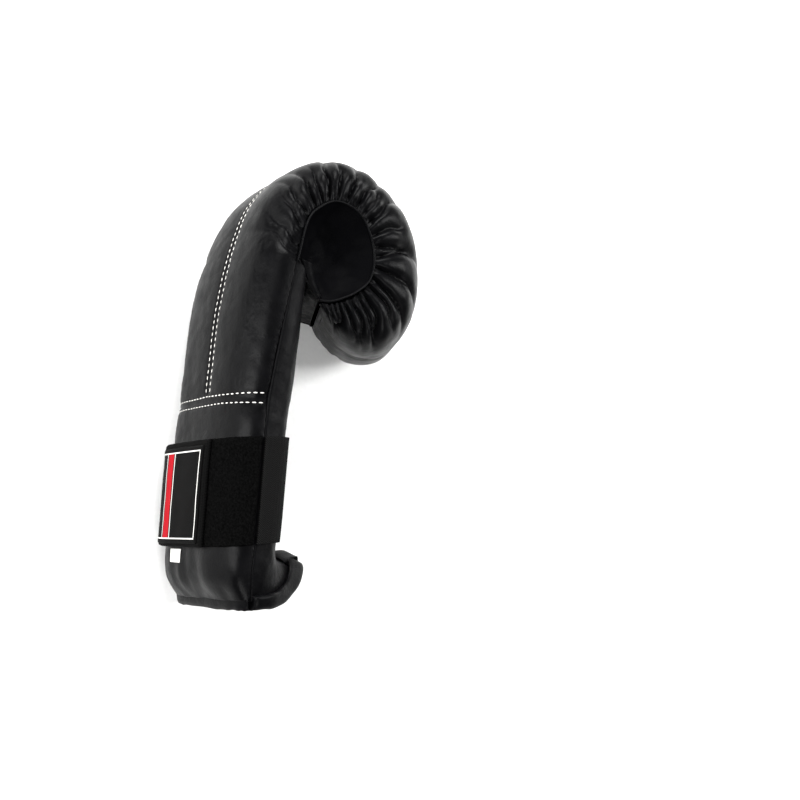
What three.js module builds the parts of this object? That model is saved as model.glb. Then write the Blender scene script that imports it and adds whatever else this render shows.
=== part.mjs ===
// A bag mitt for the right hand, lying on its thumb side.
//
// The mitt is drawn in the hand's frame: x runs from the back of the hand to the palm, y from the
// little finger to the thumb, and z from the cuff to the knuckles. The last lines lay it down, so
// that the little finger side faces up and the leather of the thumb side is pressed flat.
//
// The back pad is one long cushion. It starts at the cuff, runs up the back of the hand, rolls over
// the knuckles and ends under the finger tips. Each of its sections joins two side lines: the seam,
// where the pad's edges are sewn, and the crown, where the pad stands highest.
import * as THREE from "three";
import { mergeVertices } from "three/addons/utils/BufferGeometryUtils.js";

// Driving dimensions, in millimetres
const gloveLength = 270;
const fistReach = 105;
const fistSkew = 58;
const gloveWidth = 106;
const padThickness = 30;
const padSideWall = 11;
const palmDepth = 26;
const leatherWall = 2.5;
const thumbWall = 3;
const seatGap = 0.35;
const pleatDepth = 5;
const thumbRadius = 15;
const gussetHollow = 5;
const gussetBulge = 3;
const flareReach = 36;
const flareLift = 24;
const bindingHeight = 6;
const bindingWidth = 5;
const bindingGap = 0.8;
const loopPatchThickness = 2;
const elasticThickness = 2;
const strapThickness = 2.2;
const fingerRise = 9;
const fingerEndGap = 1.2;
const labelThickness = 1;
const tagThickness = 1;
const floorSink = 2.5;

// The side view, one row for each section of the pad from the cuff to the finger tips.
// x is a share of fistReach, z of gloveLength, half of gloveWidth and pad of padThickness.
// wrap is how far the section turns round towards the seam, in degrees from the crown. skew is a
// share of fistSkew: the fist is rolled askew, so its thumb side reaches further than the other.
const padRows = [
  { seamX: -0.16, seamZ: 0.024, crownX: -0.245, crownZ: 0.024, half: 0.4, wrap: 90, pad: 0.14, skew: 0 },
  { seamX: -0.17, seamZ: 0.08, crownX: -0.315, crownZ: 0.075, half: 0.435, wrap: 90, pad: 0.36, skew: 0 },
  { seamX: -0.14, seamZ: 0.165, crownX: -0.305, crownZ: 0.163, half: 0.44, wrap: 90, pad: 0.42, skew: 0 },
  { seamX: -0.085, seamZ: 0.37, crownX: -0.25, crownZ: 0.37, half: 0.45, wrap: 90, pad: 0.42, skew: 0 },
  { seamX: -0.03, seamZ: 0.5, crownX: -0.19, crownZ: 0.508, half: 0.465, wrap: 90, pad: 0.42, skew: 0 },
  { seamX: 0.04, seamZ: 0.622, crownX: -0.137, crownZ: 0.645, half: 0.48, wrap: 91, pad: 0.45, skew: 0 },
  { seamX: 0.115, seamZ: 0.735, crownX: -0.066, crownZ: 0.77, half: 0.49, wrap: 95, pad: 0.52, skew: 0.04 },
  { seamX: 0.18, seamZ: 0.815, crownX: 0.046, crownZ: 0.888, half: 0.5, wrap: 102, pad: 0.63, skew: 0.14 },
  { seamX: 0.28, seamZ: 0.852, crownX: 0.205, crownZ: 0.955, half: 0.5, wrap: 108, pad: 0.74, skew: 0.32 },
  { seamX: 0.4, seamZ: 0.868, crownX: 0.43, crownZ: 0.984, half: 0.5, wrap: 112, pad: 0.82, skew: 0.55 },
  { seamX: 0.54, seamZ: 0.85, crownX: 0.7, crownZ: 0.962, half: 0.5, wrap: 114, pad: 0.9, skew: 0.78 },
  { seamX: 0.62, seamZ: 0.8, crownX: 0.92, crownZ: 0.884, half: 0.495, wrap: 115, pad: 0.98, skew: 0.92 },
  { seamX: 0.64, seamZ: 0.745, crownX: 1, crownZ: 0.77, half: 0.49, wrap: 115, pad: 1.03, skew: 1 },
  { seamX: 0.6, seamZ: 0.7, crownX: 0.945, crownZ: 0.645, half: 0.48, wrap: 115, pad: 1.08, skew: 1 },
  { seamX: 0.51, seamZ: 0.673, crownX: 0.76, crownZ: 0.565, half: 0.465, wrap: 115, pad: 1.1, skew: 1 },
  { seamX: 0.42, seamZ: 0.658, crownX: 0.58, crownZ: 0.55, half: 0.445, wrap: 114, pad: 1.05, skew: 1 },
  { seamX: 0.34, seamZ: 0.65, crownX: 0.43, crownZ: 0.57, half: 0.425, wrap: 112, pad: 0.85, skew: 1 },
  { seamX: 0.27, seamZ: 0.652, crownX: 0.325, crownZ: 0.61, half: 0.4, wrap: 108, pad: 0.45, skew: 1 },
];

// Places along the pad, as positions between the rows above
const rimAt = 0;
const tagLowAt = 1.3;
const tagHighAt = 1.72;
const strapLowAt = 1.78;
const strapHighAt = 2.92;
const thumbLowAt = 3.08;
const palmTopAt = 6;
const gatherFromAt = 5.9;
const tipAt = padRows.length - 1;

// Depth of the palm side behind the seam, as a share of palmDepth, one value for each row up to
// the top of the palm.
const palmRows = [{ depth: 0.78 }, { depth: 0.9 }, { depth: 0.92 }, { depth: 0.95 }, { depth: 0.93 },
  { depth: 0.8 }, { depth: 0.64 }];

// The gathers of the pad's edges. place is a share of the gathered stretch, from the knuckles to
// the finger tips, reach a share of the way from the seam to the crown, and depth of pleatDepth.
const pleatRows = [
  { place: 0.012, reach: 0.95, depth: 0.5 },
  { place: 0.05, reach: 0.7, depth: 0.8 },
  { place: 0.09, reach: 0.95, depth: 0.75 },
  { place: 0.13, reach: 0.6, depth: 0.9 },
  { place: 0.17, reach: 0.9, depth: 1 },
  { place: 0.21, reach: 0.5, depth: 0.75 },
  { place: 0.245, reach: 0.9, depth: 1 },
  { place: 0.285, reach: 0.55, depth: 0.8 },
  { place: 0.32, reach: 0.75, depth: 0.9 },
  { place: 0.355, reach: 0.9, depth: 1 },
  { place: 0.39, reach: 0.5, depth: 0.7 },
  { place: 0.425, reach: 0.8, depth: 0.95 },
  { place: 0.46, reach: 0.55, depth: 0.8 },
  { place: 0.495, reach: 0.85, depth: 1 },
  { place: 0.53, reach: 0.6, depth: 0.85 },
  { place: 0.57, reach: 0.8, depth: 0.9 },
  { place: 0.61, reach: 0.9, depth: 1 },
  { place: 0.65, reach: 0.6, depth: 0.9 },
  { place: 0.69, reach: 0.85, depth: 1 },
  { place: 0.73, reach: 0.65, depth: 0.9 },
  { place: 0.77, reach: 0.85, depth: 1 },
  { place: 0.81, reach: 0.7, depth: 0.9 },
  { place: 0.85, reach: 0.9, depth: 0.95 },
  { place: 0.89, reach: 0.7, depth: 0.8 },
  { place: 0.93, reach: 0.8, depth: 0.7 },
  { place: 0.965, reach: 0.6, depth: 0.5 },
];

// Colours and finishes
const leatherBlack = { color: 0x1b1b1d, roughness: 0.42, metalness: 0 };
const materials = {
  padLeather: new THREE.MeshStandardMaterial(leatherBlack),
  panelLeather: new THREE.MeshStandardMaterial({ color: 0x161617, roughness: 0.5, metalness: 0 }),
  binding: new THREE.MeshStandardMaterial({ color: 0x141416, roughness: 0.45, metalness: 0 }),
  loopPile: new THREE.MeshStandardMaterial({ color: 0x0a0a0b, roughness: 0.95, metalness: 0 }),
  elastic: new THREE.MeshStandardMaterial({ color: 0x111112, roughness: 0.85, metalness: 0 }),
  webbing: new THREE.MeshStandardMaterial({ color: 0x0e0e10, roughness: 0.8, metalness: 0 }),
  label: new THREE.MeshStandardMaterial({ color: 0x1d1e22, roughness: 0.7, metalness: 0 }),
  tag: new THREE.MeshStandardMaterial({ color: 0xe8e8e6, roughness: 0.8, metalness: 0 }),
};

// Small helpers
const degrees = Math.PI / 180;
const quarterTurn = 90 * degrees;
const clamp = (value, low, high) => Math.min(high, Math.max(low, value));
const mix = (a, b, share) => a + (b - a) * share;
const rounded = (value, power) => Math.sign(value) * Math.abs(value) ** power;

function smooth(low, high, value) {
  const t = clamp((value - low) / (high - low), 0, 1);
  return t * t * (3 - 2 * t);
}

// Evenly spaced values from a to b, both included.
function steps(a, b, count) {
  return Array.from({ length: count + 1 }, (_, i) => mix(a, b, i / count));
}

// A column of a table at a place between its rows, on a smooth curve through them.
function column(rows, name, at) {
  const last = rows.length - 1;
  const i = clamp(Math.floor(at), 0, last - 1);
  const t = at - i;
  const [a, b, c, d] = [i - 1, i, i + 1, i + 2].map((k) => rows[clamp(k, 0, last)][name]);
  return b + 0.5 * t * (c - a + t * (2 * a - 5 * b + 4 * c - d + t * (3 * (b - c) + d - a)));
}

// Sections of the pad
// The section's frame: seam is its base, out points from the seam to the crown and rise is their
// distance. A point of the section lies h along out and y across the hand.
function sectionAt(at) {
  const seam = new THREE.Vector2(
    column(padRows, "seamX", at) * fistReach, column(padRows, "seamZ", at) * gloveLength);
  const crown = new THREE.Vector2(
    column(padRows, "crownX", at) * fistReach, column(padRows, "crownZ", at) * gloveLength);
  const out = crown.clone().sub(seam);
  const rise = out.length();
  return {
    seam,
    out: out.normalize(),
    rise,
    half: column(padRows, "half", at) * gloveWidth,
    wrap: column(padRows, "wrap", at) * degrees,
    pad: column(padRows, "pad", at) * padThickness,
    skew: column(padRows, "skew", at) * fistSkew,
  };
}

// The little finger's side view is the one in the table, so the skew starts there.
const skewStart = 0.45;

function place(section, y, h) {
  const skew = section.skew * (skewStart + y / gloveWidth);
  return new THREE.Vector3(
    section.seam.x + section.out.x * h + skew, y, section.seam.y + section.out.y * h);
}

// How round the pad's section is at its sides and at its crown
const sideRound = 0.62;
const crownRound = 0.78;

// The pad's outline in its section, across from -1 at the little finger's seam to 1 at the thumb's.
function padOutline(section, across, half, rise) {
  const turn = across * section.wrap;
  const low = rounded(Math.cos(section.wrap), crownRound);
  return new THREE.Vector2(
    half * rounded(Math.sin(turn), sideRound),
    (rise * (rounded(Math.cos(turn), crownRound) - low)) / (1 - low));
}

// Half the width of the pad at its seams.
function seamHalf(section) {
  return section.half * rounded(Math.sin(section.wrap), sideRound);
}

// The gathers. Half the width of one is a share of the gathered stretch. It starts to fade at a
// share of its reach, and is shallower at the seam, where the edge is sewn down.
const pleatHalfWidth = 0.011;
const pleatFadeFrom = 0.15;
const pleatSeamDepth = 0.35;
const pleatSeamReach = 0.12;

// How deep the gathers are at a place of the pad's outer face.
function gatherAt(at, across) {
  const share = (at - gatherFromAt) / (tipAt - gatherFromAt);
  const fromSeam = 1 - Math.abs(across);
  let depth = 0;
  for (const pleat of pleatRows) {
    const near = Math.max(0, 1 - Math.abs(share - pleat.place) / pleatHalfWidth);
    const fade = 1 - smooth(pleatFadeFrom * pleat.reach, pleat.reach, fromSeam);
    depth += near * fade * pleat.depth;
  }
  return depth * pleatDepth * mix(pleatSeamDepth, 1, smooth(0, pleatSeamReach, fromSeam));
}

// A point of the pad's outer face, or lift above it.
function padOuter(at, across, lift = 0) {
  const section = sectionAt(at);
  const step = 1e-3;
  const p = padOutline(section, across, section.half, section.rise);
  const q = padOutline(section, across + step, section.half, section.rise);
  const side = q.sub(p).normalize();
  const normal = new THREE.Vector2(-side.y, side.x);
  p.addScaledVector(normal, lift - gatherAt(at, across));
  return place(section, p.x, lift > 0 ? p.y : Math.max(p.y, 0));
}

// A point of the pad's inner face, which lies against the hand.
function padInner(at, across) {
  const section = sectionAt(at);
  const side = Math.min(padSideWall, section.pad);
  const p = padOutline(section, across, section.half - side, section.rise - section.pad);
  return place(section, p.x, p.y);
}

// The palm side
const palmRound = 0.72;

// The cuff's flare starts just below the strap. It is all on the palm side, most towards the thumb.
const flareTopAt = strapLowAt - 0.12;
const flareReachCurve = 1.3;
const flareLiftCurve = 1.15;
const flarePalmCurve = 1.8;
const flareLittleShare = 0.35;
const flareLittleTurn = -70 * degrees;
const flareThumbTurn = 35 * degrees;

// How much of the cuff's flare a place has: none under the strap, all of it at the rim.
function flareShare(at) {
  return clamp(1 - (at - rimAt) / (flareTopAt - rimAt), 0, 2);
}

// A point of the palm's outer face, turn from -90 degrees at the little finger's seam to 90 at the
// thumb's. Below the strap the rim spreads away from the wrist and lifts towards the thumb.
function palmPoint(at, turn) {
  const section = sectionAt(at);
  const depth = column(palmRows, "depth", at) * palmDepth;
  const y = seamHalf(section) * rounded(Math.sin(turn), palmRound);
  const point = place(section, y, -depth * rounded(Math.cos(turn), palmRound) - seatGap);
  const flare = flareShare(at);
  const towardsPalm = Math.max(0, Math.cos(turn)) ** flarePalmCurve;
  const towardsThumb = smooth(flareLittleTurn, flareThumbTurn, turn);
  const reach = towardsPalm * mix(flareLittleShare, 1, towardsThumb);
  point.x += flareReach * flare ** flareReachCurve * reach;
  point.z += flareLift * flare ** flareLiftCurve * towardsPalm * towardsThumb;
  return point;
}

// The slit between the palm panel and the thumb panel moves towards the thumb above the strap.
const slitLowTurn = 6 * degrees;
const slitHighTurn = 17 * degrees;
const thumbGrowth = 0.75;

function slitTurn(at) {
  return mix(slitLowTurn, slitHighTurn, smooth(thumbLowAt, thumbLowAt + thumbGrowth, at));
}

// The thumb panel swells into a sheath: a hook that starts at the slit, goes round the thumb and
// ends at the thumb's seam. around is 0 at the slit and 1 at the seam.
const thumbFreeEdge = -105 * degrees;
const thumbSeamEdge = 140 * degrees;
const thumbFromSeam = 0.78;
const thumbForward = 1.28;
const thumbSewnFrom = 0.78;
const thumbTopStartsAt = palmTopAt - 0.85;
const thumbTopEndsAt = palmTopAt - 0.1;

function thumbPoint(at, around) {
  const section = sectionAt(at);
  const flat = palmPoint(at, mix(slitTurn(at), quarterTurn, around));
  const grown = smooth(thumbLowAt, thumbLowAt + thumbGrowth, at)
    * (1 - smooth(thumbTopStartsAt, thumbTopEndsAt, at));
  const turn = mix(thumbFreeEdge, thumbSeamEdge, around);
  const y = seamHalf(section) + thumbRadius * (Math.sin(turn) - thumbFromSeam);
  const h = -thumbRadius * (thumbForward + Math.cos(turn));
  const free = 1 - smooth(thumbSewnFrom, 1, around);
  return flat.lerp(place(section, y, h), grown * free);
}

// A point at a distance from a face, positive away from the hand.
function lifted(face, at, u, lift) {
  const step = 1e-3;
  const along = face(at + step, u).sub(face(at - step, u));
  const across = face(at, u + step).sub(face(at, u - step));
  return face(at, u).addScaledVector(across.cross(along).normalize(), lift);
}

// Solids
// The leather of the thumb side is pressed flat where the mitt lies on it.
const floorY = 0.5 * gloveWidth - floorSink;

// A solid from its vertices and triangles, with the faces turned outwards.
function solid(points, triangles) {
  let volume = 0;
  for (const [a, b, c] of triangles) {
    volume += points[a].dot(points[b].clone().cross(points[c]));
  }
  const index = triangles.flatMap(([a, b, c]) => (volume < 0 ? [a, c, b] : [a, b, c]));
  const geometry = new THREE.BufferGeometry().setFromPoints(points);
  geometry.setIndex(index);
  const merged = mergeVertices(geometry, 1e-4);
  merged.computeVertexNormals();
  return merged;
}

// A wall between two faces, each a list of rows of points. thickness keeps the back face off the
// floor, and loop joins the last row to the first.
function wall(front, back, thickness, loop = false) {
  const press = (point, y) => point.setY(Math.min(point.y, y));
  const across = front[0].length;
  const rows = front.length;
  const ring = 2 * across;
  const points = front.flatMap((row, i) => [
    ...row.map((point) => press(point, floorY)),
    ...back[i].map((point) => press(point, floorY - thickness)).reverse(),
  ]);
  const triangles = [];
  for (let i = 0; i < (loop ? rows : rows - 1); i += 1) {
    const [a, b] = [i * ring, ((i + 1) % rows) * ring];
    for (let k = 0; k < ring; k += 1) {
      const l = (k + 1) % ring;
      triangles.push([a + k, a + l, b + l], [a + k, b + l, b + k]);
    }
  }
  if (!loop) {
    const end = (rows - 1) * ring;
    for (let k = 0; k < across - 1; k += 1) {
      const [l, m, n] = [ring - 1 - k, ring - 2 - k, k + 1];
      triangles.push([k, l, m], [k, m, n], [end + k, end + n, end + m], [end + k, end + m, end + l]);
    }
  }
  return solid(points, triangles);
}

// A wall over a face: rows of places, a list of places across, and the lifts of its two sides.
function skin(face, ats, acrossAt, high, low) {
  const side = (lift) => ats.map((at) => acrossAt(at).map((u) => face(at, u, lift)));
  return wall(side(high), side(low), high - low);
}

// A round panel between two faces, each a list of closed rings with its centre point first.
function disc(front, back) {
  const around = front[1].length;
  const last = front.length - 1;
  const points = [front[0][0], back[0][0], ...front.slice(1).flat(), ...back.slice(1).flat()];
  const start = (face, ring) => 2 + (face * last + ring - 1) * around;
  const triangles = [];
  for (let k = 0; k < around; k += 1) {
    const l = (k + 1) % around;
    triangles.push([0, start(0, 1) + k, start(0, 1) + l], [1, start(1, 1) + l, start(1, 1) + k]);
    for (let r = 1; r < last; r += 1) {
      const [a, b] = [start(0, r), start(0, r + 1)];
      triangles.push([a + k, b + k, b + l], [a + k, b + l, a + l]);
      const [c, d] = [start(1, r), start(1, r + 1)];
      triangles.push([c + k, d + l, d + k], [c + k, c + l, d + l]);
    }
    const [e, f] = [start(0, last), start(1, last)];
    triangles.push([e + k, f + k, f + l], [e + k, f + l, e + l]);
  }
  return solid(points, triangles);
}

const mitt = new THREE.Group();

function addPiece(name, geometry, material) {
  const mesh = new THREE.Mesh(geometry, material);
  mesh.name = name;
  mitt.add(mesh);
}

// Back pad
// Its sections stand at the bottom of each gather and halfway between two of them.
function gatherStations() {
  const stretch = tipAt - gatherFromAt;
  const valleys = pleatRows.map((pleat) => gatherFromAt + pleat.place * stretch);
  const puffs = valleys.slice(1).map((at, i) => (at + valleys[i]) / 2);
  return [...valleys, ...puffs, tipAt].sort((a, b) => a - b);
}

const padAcross = steps(-1, 1, 16);

function backPad() {
  const stations = [...steps(rimAt, gatherFromAt - 0.2, 13), ...gatherStations()];
  return wall(
    stations.map((at) => padAcross.map((u) => padOuter(at, u))),
    stations.map((at) => padAcross.map((u) => padInner(at, u))), padSideWall);
}

addPiece("back_pad", backPad(), materials.padLeather);

// Palm panel and thumb panel
const cuffStations = steps(rimAt, strapLowAt, 7);
const palmLift = (at, turn, lift) => lifted(palmPoint, at, turn, lift);
const thumbLift = (at, around, lift) => lifted(thumbPoint, at, around, lift);

// The palm panel ends half a gap before the slit, and the thumb panel starts at it.
function palmTurns(at) {
  const gap = (2 * seatGap) / palmDepth;
  return steps(-quarterTurn, slitTurn(at) - gap, 10);
}

addPiece("palm_panel", skin(
  palmLift, [...cuffStations, ...steps(strapLowAt + 0.3, palmTopAt, 11)], palmTurns,
  0, -leatherWall), materials.panelLeather);

const thumbAround = steps(0, 1, 14);

addPiece("thumb_panel", skin(
  thumbLift, [...cuffStations, 2.5, ...steps(thumbLowAt, palmTopAt, 14)], () => thumbAround,
  0, -thumbWall), materials.panelLeather);

// Finger panel
// A strip from the top of the palm to the end of the pad, between the two side panels.
const gussetInset = 0.6;
const fingerTurn = 50 * degrees;

// How far the leather under the finger tips arches into the fist.
function fingerArch(share) {
  return fingerRise * (4 * share * (1 - share)) ** 2;
}

function fingerPoint(share, turn) {
  const palm = sectionAt(palmTopAt);
  const tip = sectionAt(tipAt);
  const up = new THREE.Vector3(palm.out.y, 0, -palm.out.x);
  const start = palmLift(palmTopAt, turn, -leatherWall);
  const height = start.clone().sub(place(palm, start.y, 0)).dot(up);
  start.addScaledVector(up, seatGap - height);
  const y = (start.y * (seamHalf(tip) - leatherWall)) / seamHalf(palm);
  return start.lerp(place(tip, y, -fingerEndGap), share).addScaledVector(up, fingerArch(share));
}

addPiece("finger_panel", skin(
  (share, turn, lift) => lifted(fingerPoint, share, turn, lift), steps(0, 1, 3),
  () => steps(-fingerTurn, fingerTurn, 10), 0, -leatherWall), materials.panelLeather);

// Side panels of the fist
// The rim follows the pad's seam and closes along the line from the finger tips to the palm.
const gussetRings = [0, 0.4, 0.75, 1];
const gussetCurve = 4;
const closingSteps = 5;

function gussetRim(side, inset) {
  const seam = gatherStations().map((at) => {
    const section = sectionAt(at);
    return place(section, side * (seamHalf(section) - inset), -seatGap);
  });
  const [first, last] = [seam[0], seam[seam.length - 1]];
  const line = last.clone().sub(first);
  const inward = new THREE.Vector3(-line.z, 0, line.x).normalize();
  const closing = steps(0, 1, closingSteps).slice(1, -1).map((share) => last.clone()
    .lerp(first, share).addScaledVector(inward, 2 * seatGap + fingerArch(share)));
  return [...seam, ...closing];
}

// The panel is sunken between the gathers on the little finger's side and bulges on the thumb's.
function gussetFace(side, inset) {
  const rim = gussetRim(side, inset);
  const swell = side < 0 ? -gussetHollow : gussetBulge;
  const centre = new THREE.Box3().setFromPoints(rim).getCenter(new THREE.Vector3());
  return gussetRings.map((share) => rim.map((point) => {
    const p = centre.clone().lerp(point, share);
    const half = Math.abs(p.y) + swell * (1 - share ** gussetCurve);
    return p.setY(side * Math.min(half, floorY + gussetInset - inset));
  }));
}

function gusset(side) {
  return disc(gussetFace(side, gussetInset), gussetFace(side, gussetInset + leatherWall));
}

addPiece("gusset_little_side", gusset(-1), materials.panelLeather);
addPiece("gusset_thumb_side", gusset(1), materials.panelLeather);

// Cuff binding
// A bead that closes the rim: its section hangs from the end of the wall, square to it.
const bindingSection = [
  { wide: -0.5, down: 0 }, { wide: -0.5, down: 0.6 }, { wide: -0.28, down: 1 },
  { wide: 0.28, down: 1 }, { wide: 0.5, down: 0.6 }, { wide: 0.5, down: 0 },
];

function cuffBinding() {
  const thumbTurns = thumbAround.map((share) => mix(slitTurn(rimAt), quarterTurn, share));
  const rim = [
    ...padAcross.slice(1, -1).map((u) => [padOuter(rimAt, u), padInner(rimAt, u)]),
    ...[...palmTurns(rimAt), ...thumbTurns].reverse()
      .map((turn) => [palmLift(rimAt, turn, 0), palmLift(rimAt, turn, -leatherWall)]),
  ];
  const middles = rim.map(([outer, inner]) => outer.clone().lerp(inner, 0.5));
  const count = rim.length;
  const rows = rim.map(([outer, inner], i) => {
    const wide = outer.clone().sub(inner).normalize();
    const along = middles[(i + 1) % count].clone().sub(middles[(i + count - 1) % count]);
    const down = wide.clone().cross(along).normalize();
    return bindingSection.map((corner) => middles[i].clone()
      .addScaledVector(wide, corner.wide * bindingWidth)
      .addScaledVector(down, corner.down * bindingHeight + bindingGap));
  });
  const half = bindingSection.length / 2;
  return wall(
    rows.map((row) => row.slice(0, half)), rows.map((row) => row.slice(half).reverse()), 0, true);
}

addPiece("cuff_binding", cuffBinding(), materials.binding);

// Wrist strap
// The loop patch lies on the back pad, the elastic on the palm and the thumb's side. The webbing
// end of the strap lies over both and carries the label. Places across are as on the pad.
const patchFrom = -0.97;
const patchTo = 0.5;
const elasticEnd = 0.53;
const webbingFrom = -0.2;
const webbingTo = 0.62;
const labelFrom = -0.15;
const labelTo = 0.45;
const tagFrom = 0.01;
const tagTo = 0.2;
const strapStations = steps(strapLowAt, strapHighAt, 3);
const webbingLow = seatGap + Math.max(loopPatchThickness, elasticThickness) + seatGap;
const labelLow = webbingLow + strapThickness + seatGap;

// The elastic's places run on from the palm, up to a quarter turn, to the pad, from there on.
function bandPoint(at, turn, lift) {
  return turn <= quarterTurn
    ? palmLift(at, turn, lift)
    : padOuter(at, 1 - (turn - quarterTurn) / quarterTurn, lift);
}

const elasticTurns = [
  ...steps(-quarterTurn, quarterTurn, 16),
  ...steps(quarterTurn, quarterTurn * (2 - elasticEnd), 6).slice(1),
];

addPiece("elastic_band", skin(
  bandPoint, strapStations, () => elasticTurns, seatGap + elasticThickness, seatGap),
materials.elastic);

addPiece("loop_patch", skin(
  padOuter, strapStations, () => steps(patchFrom, patchTo, 12), seatGap + loopPatchThickness,
  seatGap), materials.loopPile);

addPiece("wrist_strap", skin(
  padOuter, strapStations, () => steps(webbingFrom, webbingTo, 10), webbingLow + strapThickness,
  webbingLow), materials.webbing);

addPiece("strap_label", skin(
  padOuter, steps(strapLowAt + 0.06, strapHighAt - 0.06, 3), () => steps(labelFrom, labelTo, 8),
  labelLow + labelThickness, labelLow), materials.label);

addPiece("size_tag", skin(
  padOuter, steps(tagLowAt, tagHighAt, 2), () => steps(tagFrom, tagTo, 3), seatGap + tagThickness,
  seatGap), materials.tag);

// The mitt is laid on its thumb side, with the middle of its footprint at the origin.
mitt.rotation.x = -quarterTurn;
mitt.updateMatrixWorld(true);
const box = new THREE.Box3().setFromObject(mitt);
const middle = box.getCenter(new THREE.Vector3());
mitt.position.set(-middle.x, -middle.y, -box.min.z);
mitt.updateMatrixWorld(true);

export default mitt;
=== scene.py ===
"""The looks of a bag mitt for the right hand that lies on its thumb side.

The mitt is drawn in the hand's frame, in metres: x runs from the back of the hand to the palm, y from
the little finger to the thumb, and z from the cuff to the knuckles. to_world lays it down. A place
on the pad is given by at, a position between the rows of the side view, and by across, from -1 at the
little finger's seam to 1 at the thumb's.
"""
import math
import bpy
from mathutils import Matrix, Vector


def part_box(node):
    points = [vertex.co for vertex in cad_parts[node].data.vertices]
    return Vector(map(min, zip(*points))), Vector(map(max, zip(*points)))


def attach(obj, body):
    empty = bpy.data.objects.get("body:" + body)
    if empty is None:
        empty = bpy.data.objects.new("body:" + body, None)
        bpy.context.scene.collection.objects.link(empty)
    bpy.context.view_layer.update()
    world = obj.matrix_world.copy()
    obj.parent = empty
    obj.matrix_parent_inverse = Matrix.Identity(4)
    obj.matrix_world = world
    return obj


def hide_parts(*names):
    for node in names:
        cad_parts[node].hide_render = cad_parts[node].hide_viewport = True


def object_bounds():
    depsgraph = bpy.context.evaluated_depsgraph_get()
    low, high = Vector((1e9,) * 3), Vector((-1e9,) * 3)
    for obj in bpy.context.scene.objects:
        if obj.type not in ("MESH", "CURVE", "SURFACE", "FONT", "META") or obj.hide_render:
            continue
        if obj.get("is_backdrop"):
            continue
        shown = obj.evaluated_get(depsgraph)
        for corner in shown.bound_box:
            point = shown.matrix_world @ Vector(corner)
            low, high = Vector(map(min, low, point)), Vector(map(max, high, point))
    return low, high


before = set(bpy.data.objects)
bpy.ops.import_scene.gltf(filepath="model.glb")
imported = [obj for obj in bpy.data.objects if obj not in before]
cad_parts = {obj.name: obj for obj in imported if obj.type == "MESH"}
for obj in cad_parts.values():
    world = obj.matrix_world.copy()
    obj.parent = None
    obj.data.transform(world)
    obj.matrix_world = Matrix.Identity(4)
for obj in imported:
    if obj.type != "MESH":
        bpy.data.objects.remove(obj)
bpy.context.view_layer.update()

from types import SimpleNamespace

import bmesh
import bpy
import numpy as np
from bpy.props import FloatProperty, FloatVectorProperty, PointerProperty
from mathutils import Matrix, Vector, kdtree, noise

MM = 0.001
DEGREE = math.pi / 180
QUARTER = math.pi / 2

bl_info = {
    "name": "Bag mitt",
    "version": (1, 0, 0),
    "blender": (4, 5, 0),
    "location": "3D View > Sidebar > Bag mitt",
    "description": "Builds the finished surfaces of a padded bag mitt",
    "category": "Object",
}


# Sizes and colours

def linear(code):
    """The linear colour of an sRGB hex code, with full opacity."""
    values = [int(code[i:i + 2], 16) / 255 for i in (0, 2, 4)]
    return [v / 12.92 if v <= 0.04045 else ((v + 0.055) / 1.055) ** 2.4 for v in values] + [1.0]


def length_property(name, description, default):
    return FloatProperty(name=name, description=description, default=default, min=0, subtype="DISTANCE",
                         unit="LENGTH", precision=5)


def colour_property(name, description, code):
    return FloatVectorProperty(name=name, description=description, default=linear(code), size=4,
                               subtype="COLOR", min=0, max=1)


class MittSizes(bpy.types.PropertyGroup):
    """The driving sizes of the mitt."""
    glove_length: length_property("Length", "From the cuff to the knuckles", 0.270)
    fist_reach: length_property("Fist reach", "From the wrist to the front of the fist", 0.105)
    fist_skew: length_property("Fist skew", "How much further the thumb side reaches", 0.058)
    glove_width: length_property("Width", "Across the knuckles", 0.106)
    pad_thickness: length_property("Pad thickness", "Of the cushion", 0.030)
    pad_side_wall: length_property("Pad side", "Of the cushion at its seams", 0.011)
    palm_depth: length_property("Palm depth", "From the seam to the palm", 0.026)
    leather_wall: length_property("Leather", "Thickness of the leather panels", 0.0025)
    thumb_radius: length_property("Thumb radius", "Of the thumb's sheath", 0.015)
    pleat_depth: length_property("Pleat depth", "Of the gathers", 0.0062)
    flare_reach: length_property("Flare reach", "Of the cuff towards the palm", 0.036)
    flare_lift: length_property("Flare lift", "Of the cuff's palm side", 0.024)
    stitch_pitch: length_property("Stitch pitch", "From one stitch to the next", 0.0037)
    stitch_rows: length_property("Row gap", "Between the two rows of a double seam", 0.0048)


class MittColours(bpy.types.PropertyGroup):
    """The colours of the mitt and its stage."""
    leather: colour_property("Leather", "Coated leather of the pad", "060607")
    panel: colour_property("Panel", "Leather of the palm and the fist's sides", "040405")
    thread_white: colour_property("White thread", "The double rows on the back", "e6e4de")
    thread_black: colour_property("Black thread", "The seams", "0c0c0d")
    fabric: colour_property("Fabric", "Elastic, webbing and loop pile", "050505")
    label_red: colour_property("Label red", "The label's band", "960f1a")
    label_white: colour_property("Label white", "The label's lines and the tag", "e9e8e4")
    floor: colour_property("Floor", "The surface that the mitt lies on", "f4f4f3")


def sizes():
    return bpy.context.scene.mitt_sizes


def colours():
    return bpy.context.scene.mitt_colours


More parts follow.
